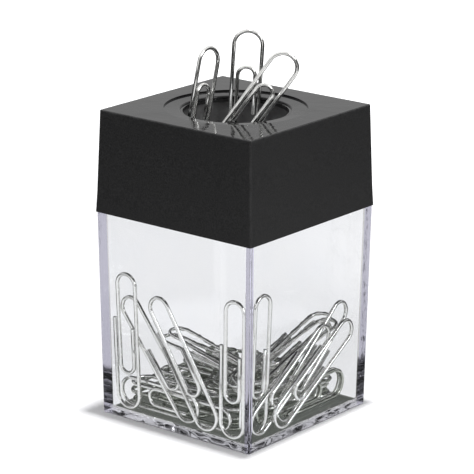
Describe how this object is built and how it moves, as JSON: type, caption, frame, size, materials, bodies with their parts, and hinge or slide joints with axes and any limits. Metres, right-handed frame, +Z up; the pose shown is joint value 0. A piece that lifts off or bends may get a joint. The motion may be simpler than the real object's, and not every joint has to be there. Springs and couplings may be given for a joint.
{
  "type": "magnetic paper clip holder",
  "caption": "Square clear desk cup of wire paper clips under a tapered black lift-off lid, whose dished mouth has a ring magnet that holds clips upright.",
  "frame": {"origin": "centre of the flat face that the cup stands on", "axes": "+Z up; +X and -Y are the two cup walls that the picture shows, on its right and its left"},
  "size_m": [0.0452, 0.0452, 0.0877],
  "materials": {
    "clear_plastic": "clear polystyrene, polished",
    "black_plastic": "black moulded plastic, polished top and fine satin sides",
    "black_satin": "black moulded plastic, satin",
    "ferrite": "sintered ferrite, dull dark grey",
    "clip_wire": "nickel-plated steel wire, bright drawn"
  },
  "bodies": {
    "cup": {"cup": "clear_plastic", "bundle_clip_1": "clip_wire", "bundle_clip_2": "clip_wire", "bundle_clip_3": "clip_wire", "fan_clip_1": "clip_wire", "fan_clip_2": "clip_wire", "left_edge_clip_1": "clip_wire", "loose_clip": "clip_wire", "pile_clip_01": "clip_wire", "pile_clip_02": "clip_wire", "pile_clip_03": "clip_wire", "pile_clip_04": "clip_wire", "pile_clip_05": "clip_wire", "pile_clip_06": "clip_wire", "pile_clip_07": "clip_wire", "pile_clip_08": "clip_wire", "pile_clip_09": "clip_wire", "pile_clip_10": "clip_wire", "pile_clip_11": "clip_wire", "pile_clip_12": "clip_wire", "pile_clip_13": "clip_wire", "pile_clip_14": "clip_wire", "pile_clip_15": "clip_wire", "pile_clip_16": "clip_wire", "pile_clip_17": "clip_wire", "pile_clip_18": "clip_wire", "pile_clip_19": "clip_wire", "pile_clip_20": "clip_wire", "right_edge_clip_1": "clip_wire", "right_edge_clip_2": "clip_wire", "wall_clip_1": "clip_wire", "wall_clip_2": "clip_wire", "wall_clip_3": "clip_wire", "wall_clip_4": "clip_wire", "wall_clip_5": "clip_wire", "wall_clip_6": "clip_wire", "wall_clip_7": "clip_wire", "wall_clip_8": "clip_wire"},
    "lid": {"lid": "black_plastic", "magnet_ring": "ferrite", "magnet_retainer": "black_satin"},
    "rim_clip_left": {"rim_clip_left": "clip_wire"},
    "rim_clip_back": {"rim_clip_back": "clip_wire"},
    "rim_clip_front": {"rim_clip_front": "clip_wire"}
  },
  "joints": [
    {"name": "lid_lift", "type": "slide", "parent": "cup", "child": "lid", "axis": [0, 0, 1], "range_m": [0, 0.05]},
    {"name": "pull_clip_left", "type": "slide", "parent": "lid", "child": "rim_clip_left", "axis": [0.0045, 0.2588, 0.9659], "range_m": [0, 0.025]},
    {"name": "pull_clip_back", "type": "slide", "parent": "lid", "child": "rim_clip_back", "axis": [0.0463, 0.0312, 0.9984], "range_m": [0, 0.025]},
    {"name": "pull_clip_front", "type": "slide", "parent": "lid", "child": "rim_clip_front", "axis": [0.4156, 0.4156, 0.809], "range_m": [0, 0.025]}
  ]
}
